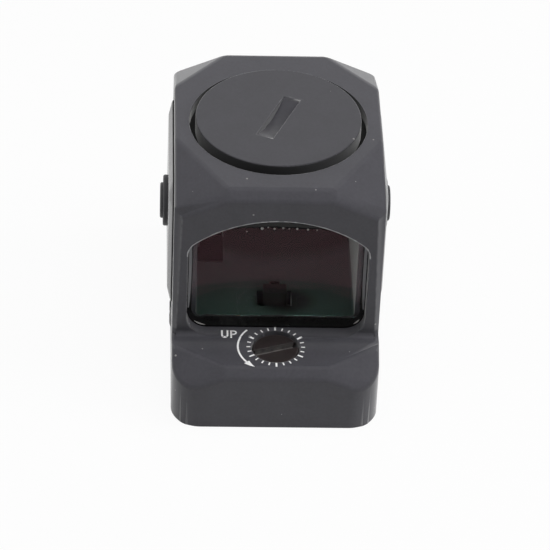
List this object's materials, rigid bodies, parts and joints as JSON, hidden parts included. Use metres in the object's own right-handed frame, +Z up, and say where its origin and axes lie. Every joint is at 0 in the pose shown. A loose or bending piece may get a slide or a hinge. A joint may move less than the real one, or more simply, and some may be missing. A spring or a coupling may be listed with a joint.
{
  "type": "enclosed red dot sight",
  "caption": "Black closed sight housing with a window at each end, a coin-slotted battery cap on top, a slotted dial on the rear deck and a push button on each side.",
  "frame": {"origin": "middle of the underside of the base", "axes": "+Z up, +Y forward towards the target, +X to the right; the rear window and the deck face -Y"},
  "size_m": [0.0316, 0.0446, 0.0342],
  "materials": {
    "alloy": "matt black anodised",
    "window_glass": "coated, brown and dark green reflections",
    "lens_glass": "coated, amber reflections",
    "bead": "glossy black sealant",
    "seal": "matt",
    "pad": "fine grained, dark grey",
    "button_rubber": "matt",
    "dial": "dark, satin",
    "steel": "bright",
    "black_steel": "black oxide",
    "brass": "machined",
    "block": "matt black",
    "emitter": "clear red",
    "board": "green solder mask",
    "chip": "black",
    "ribbon": "black cover film"
  },
  "bodies": {
    "housing_body": {"housing": "alloy", "rear_window": "window_glass", "rear_window_gasket": "bead", "front_lens_outer": "lens_glass", "front_lens_inner": "lens_glass", "front_lens_gasket": "bead", "battery_cell": "steel", "battery_minus_contact": "steel", "battery_plus_contact": "steel", "left_side_pad": "pad", "right_side_pad": "pad", "left_dome_switch": "steel", "right_dome_switch": "steel", "left_switch_board": "board", "right_switch_board": "board", "elevation_detent_ball": "steel", "elevation_detent_spring": "steel", "windage_detent_ball": "steel", "windage_detent_spring": "steel", "elevation_springs": "steel", "windage_spring": "steel", "circuit_board": "board", "controller_chip": "chip", "circuit_board_screws": "steel", "battery_ribbon": "ribbon", "base_cover": "alloy", "base_cover_gasket": "seal", "base_cover_screws": "black_steel"},
    "cap_seal": {"battery_cap_o_ring": "seal"},
    "cap": {"battery_cap": "alloy"},
    "left_button": {"left_button": "button_rubber"},
    "right_button": {"right_button": "button_rubber"},
    "elevation_dial": {"elevation_dial": "dial", "elevation_o_ring": "seal", "elevation_clip": "steel"},
    "elevation_carriage": {"elevation_carriage": "brass"},
    "emitter_block": {"emitter_block": "block", "emitter": "emitter", "emitter_mask": "block"},
    "windage_dial": {"windage_dial": "dial", "windage_o_ring": "seal", "windage_clip": "steel"},
    "windage_plunger": {"windage_plunger": "steel"},
    "left_mount_nut": {"left_mount_nut": "black_steel"},
    "right_mount_nut": {"right_mount_nut": "black_steel"}
  },
  "joints": [
    {"name": "cap_lift", "type": "slide", "parent": "housing_body", "child": "cap_seal", "axis": [0, 0, 1], "range_m": [0, 0.0045]},
    {"name": "cap_turn", "type": "hinge", "parent": "cap_seal", "child": "cap", "pos_m": [0, 0.00202, 0.0335], "axis": [0, 0, 1], "range_deg": [0, 2160]},
    {"name": "left_button_press", "type": "slide", "parent": "housing_body", "child": "left_button", "axis": [1, 0, 0], "range_m": [0, 0.00045], "stiffness_N_per_m": 800},
    {"name": "right_button_press", "type": "slide", "parent": "housing_body", "child": "right_button", "axis": [-1, 0, 0], "range_m": [0, 0.00045], "stiffness_N_per_m": 800},
    {"name": "elevation_turn", "type": "hinge", "parent": "housing_body", "child": "elevation_dial", "pos_m": [0, -0.01688, 0.0097], "axis": [0, 0, 1], "range_deg": [-720, 720]},
    {"name": "elevation_shift", "type": "slide", "parent": "housing_body", "child": "elevation_carriage", "axis": [0, 0, 1], "range_m": [-0.0005, 0.0005], "deforming": ["elevation_springs"]},
    {"name": "windage_turn", "type": "hinge", "parent": "housing_body", "child": "windage_dial", "pos_m": [0.014, -0.01045, 0.00545], "axis": [1, 0, 0], "range_deg": [-720, 720]},
    {"name": "windage_shift", "type": "slide", "parent": "housing_body", "child": "windage_plunger", "axis": [1, 0, 0], "range_m": [-0.0005, 0.0005]},
    {"name": "emitter_shift", "type": "slide", "parent": "elevation_carriage", "child": "emitter_block", "axis": [1, 0, 0], "range_m": [-0.0005, 0.0005], "deforming": ["windage_spring"]},
    {"name": "left_nut_turn", "type": "hinge", "parent": "housing_body", "child": "left_mount_nut", "pos_m": [-0.01, -0.00175, 0.00175], "axis": [0, 0, 1], "continuous": true},
    {"name": "right_nut_turn", "type": "hinge", "parent": "housing_body", "child": "right_mount_nut", "pos_m": [0.01, -0.00175, 0.00175], "axis": [0, 0, 1], "continuous": true}
  ],
  "couplings": [
    {"joint": "cap_turn", "follows": "cap_lift", "rad_per_m": 8377.6},
    {"joint": "elevation_turn", "follows": "elevation_shift", "rad_per_m": 25133},
    {"joint": "windage_turn", "follows": "windage_shift", "rad_per_m": 25133},
    {"joint": "emitter_shift", "follows": "windage_shift", "ratio": 1}
  ]
}
